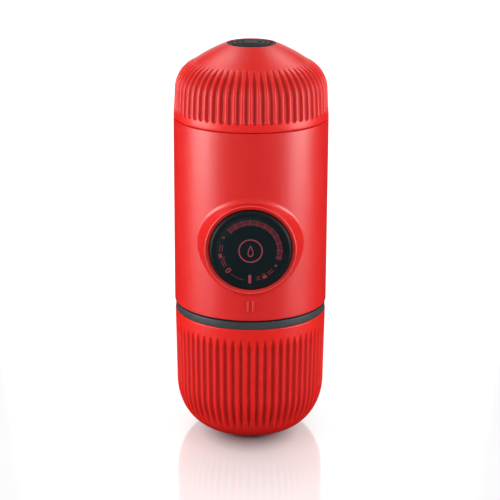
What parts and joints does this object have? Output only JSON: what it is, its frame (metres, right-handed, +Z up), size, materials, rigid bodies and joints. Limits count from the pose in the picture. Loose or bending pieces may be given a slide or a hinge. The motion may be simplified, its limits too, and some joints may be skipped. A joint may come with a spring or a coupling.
{
  "type": "handheld espresso maker",
  "caption": "Handheld manual espresso maker: ribbed water tank, tube body with a push-and-turn pump knob, screw-on outlet head and a ribbed cup as its cap.",
  "frame": {"origin": "centre of the tank's flat foot", "axes": "+Z up along the maker's axis, towards the cup; the pump knob faces -Y"},
  "size_m": [0.06, 0.064, 0.156],
  "materials": {
    "red_shell": "soft-touch satin",
    "grey_collar": "matte",
    "black_knob": "satin",
    "dial_face": "satin",
    "foot_rubber": "matte",
    "black_plastic": "moulded",
    "liner_plastic": "moulded",
    "seal_rubber": "matte",
    "steel": "bright",
    "sheet_steel": "polished"
  },
  "bodies": {
    "body": {"main_shell": "red_shell", "lower_deck": "black_plastic", "upper_deck": "black_plastic", "collar_ring": "grey_collar", "pump_body": "black_plastic", "gland_cap": "black_plastic", "return_spring": "steel", "inlet_valve": "seal_rubber", "inlet_strainer": "sheet_steel", "vent_valve": "seal_rubber", "outlet_ball": "steel", "outlet_spring": "steel", "riser_tube": "seal_rubber", "tie_screws": "steel", "cup_grip_ring": "seal_rubber", "shower_screen": "sheet_steel", "shower_screw": "steel", "filter_basket": "sheet_steel", "scoop": "black_plastic"},
    "tank_seat": {"tank_gasket": "seal_rubber"},
    "tank": {"tank_shell": "red_shell", "tank_liner": "liner_plastic"},
    "piston": {"piston_rod": "steel", "piston_head": "black_plastic", "piston_seal": "seal_rubber", "rod_screw": "steel"},
    "knob": {"piston_knob": "black_knob", "knob_dial": "dial_face", "lock_ring": "black_plastic"},
    "head_seat": {"head_gasket": "seal_rubber"},
    "head": {"outlet_head": "black_plastic", "spout": "black_plastic"},
    "cup": {"cup_shell": "red_shell", "cup_foot": "foot_rubber"}
  },
  "joints": [
    {"name": "tank_drop", "type": "slide", "parent": "body", "child": "tank_seat", "axis": [0, 0, -1], "range_m": [0, 0.0061]},
    {"name": "tank_turn", "type": "hinge", "parent": "tank_seat", "child": "tank", "pos_m": [0, 0, 0.02], "axis": [0, 0, -1], "range_deg": [0, 540]},
    {"name": "pump_stroke", "type": "slide", "parent": "body", "child": "piston", "axis": [0, -1, 0], "range_m": [0, 0.016], "deforming": ["return_spring"]},
    {"name": "lock_turn", "type": "hinge", "parent": "piston", "child": "knob", "pos_m": [0, -0.03, 0.0827], "axis": [0, -1, 0], "range_deg": [0, 45]},
    {"name": "head_rise", "type": "slide", "parent": "body", "child": "head_seat", "axis": [0, 0, 1], "range_m": [0, 0.0038]},
    {"name": "head_turn", "type": "hinge", "parent": "head_seat", "child": "head", "pos_m": [0, 0, 0.135], "axis": [0, 0, 1], "range_deg": [0, 450]},
    {"name": "cup_lift", "type": "slide", "parent": "body", "child": "cup", "axis": [0, 0, 1], "range_m": [0, 0.045]}
  ],
  "couplings": [
    {"joint": "tank_drop", "follows": "tank_turn", "m_per_rad": 0.00063662},
    {"joint": "head_rise", "follows": "head_turn", "m_per_rad": 0.00047746}
  ]
}
